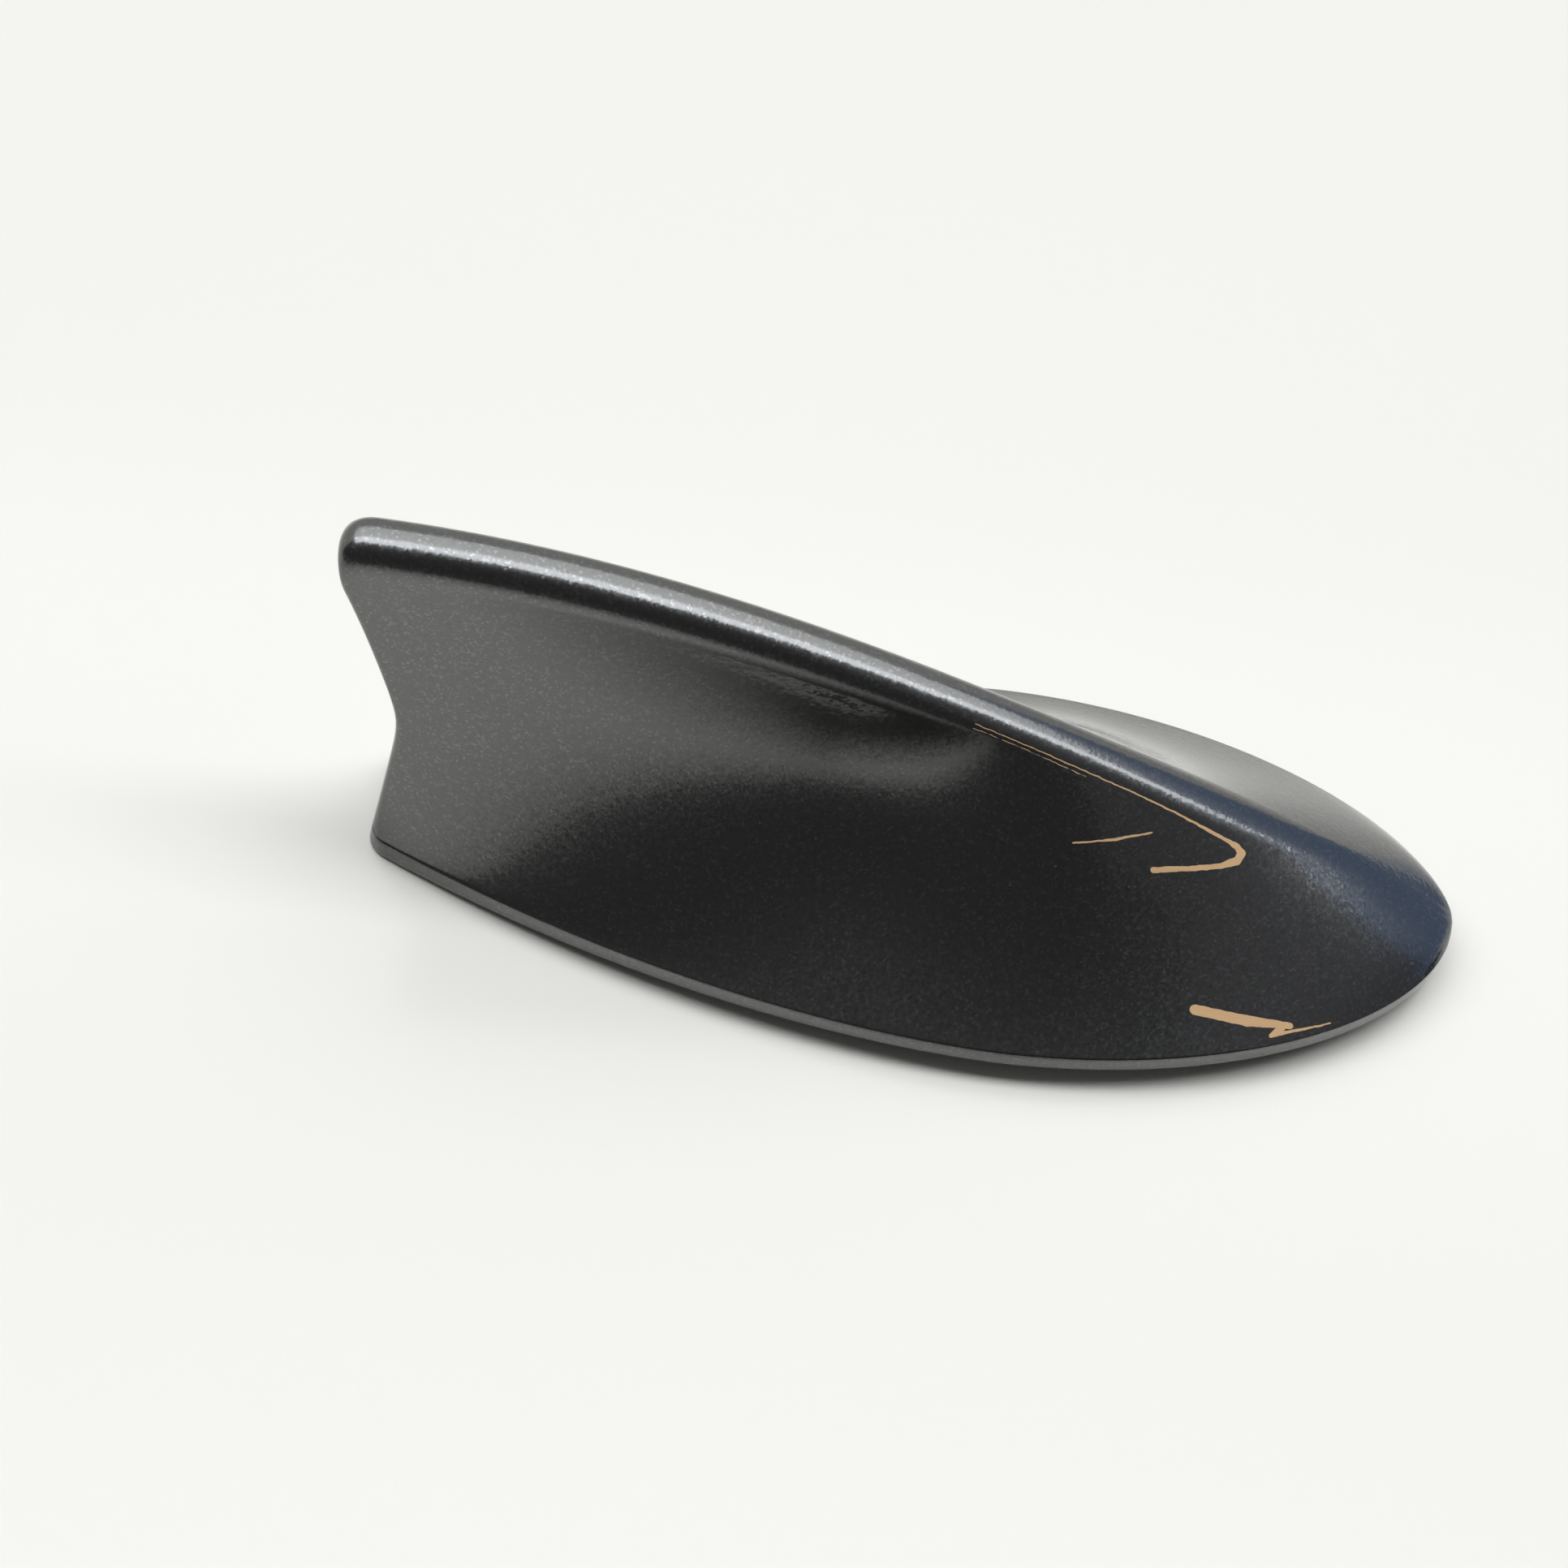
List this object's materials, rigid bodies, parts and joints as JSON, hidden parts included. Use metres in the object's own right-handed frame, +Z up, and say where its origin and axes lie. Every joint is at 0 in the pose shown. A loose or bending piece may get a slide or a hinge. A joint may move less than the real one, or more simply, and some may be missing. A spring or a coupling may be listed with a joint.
{
  "type": "car roof antenna",
  "caption": "Painted roof fin antenna: a hollow teardrop cover with a round spine over a cast base, radio, telephone and satellite elements, seals and a threaded roof fixing.",
  "frame": {"origin": "middle of the length on the centre line, in the plane of the base gasket's lower face", "axes": "+X along the car towards the rounded nose, +Z up from the roof, the fin is mirrored across Y = 0"},
  "size_m": [0.1596, 0.0646, 0.0585],
  "materials": {
    "paint": "dark metallic grey paint under clear lacquer on moulded plastic",
    "seal_rubber": "matt black",
    "cast_metal": "die cast, fine sandy skin",
    "sheet_steel": "tinned or zinc plated",
    "brass": "turned brass",
    "copper": "drawn copper wire",
    "silver": "fired silver",
    "board": "green solder resist on glass laminate",
    "ceramic": "fired ceramic",
    "black_plastic": "satin moulded",
    "white_plastic": "satin moulded"
  },
  "bodies": {
    "root": {"cover": "paint", "cover_edge_seal": "seal_rubber", "base_plate": "cast_metal", "base_gasket": "seal_rubber", "roof_seal": "seal_rubber", "threaded_bush": "brass", "earth_washer": "sheet_steel", "main_board": "board", "board_chips": "black_plastic", "shield_can": "sheet_steel", "satellite_patch": "ceramic", "patch_silver": "silver", "radio_plate": "sheet_steel", "radio_coil": "copper", "coil_former": "white_plastic", "telephone_blade": "brass", "element_carrier": "black_plastic", "socket_block": "black_plastic", "socket_pins": "brass", "board_screws": "sheet_steel", "cover_screws": "sheet_steel", "vent_membrane": "white_plastic"}
  },
  "joints": []
}
